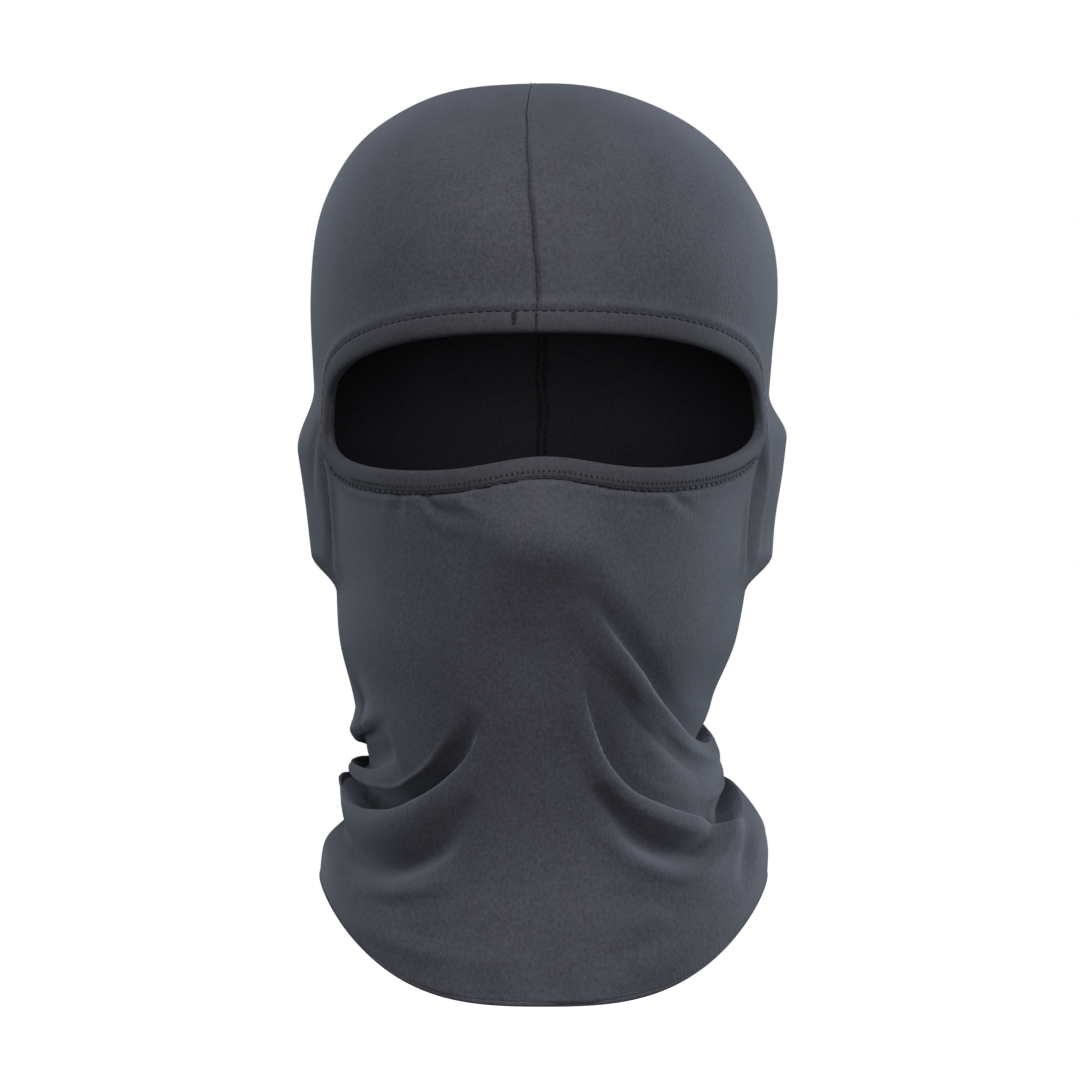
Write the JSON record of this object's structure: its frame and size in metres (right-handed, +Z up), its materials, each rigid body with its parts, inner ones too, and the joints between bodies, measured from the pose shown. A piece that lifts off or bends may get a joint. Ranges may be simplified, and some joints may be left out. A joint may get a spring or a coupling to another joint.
{
  "type": "balaclava",
  "caption": "Pull-on balaclava in thin stretch knit with one wide eye opening, a centre seam over the crown and a neck bib that drapes in soft folds.",
  "frame": {"origin": "inside of the crown's top, where the wearer's head bears", "axes": "+Z up; the face looks along -Y; +X is to the right in a front view, which is the wearer's left"},
  "size_m": [0.1698, 0.209, 0.3159],
  "materials": {
    "knit": "smooth fine stretch jersey, satin-matte",
    "knit_inside": "back of the jersey, matte",
    "binding_knit": "the same jersey folded double, matte",
    "thread": "textured polyester thread"
  },
  "bodies": {
    "root": {"hood_body": "knit", "face_binding": "binding_knit", "binding_coverstitch": "thread", "binding_join_seam": "thread", "binding_backtack": "thread", "centre_seam_thread": "thread", "seam_allowance": "knit_inside", "seam_overlock_thread": "thread", "neck_hem_roll": "knit"}
  },
  "joints": []
}
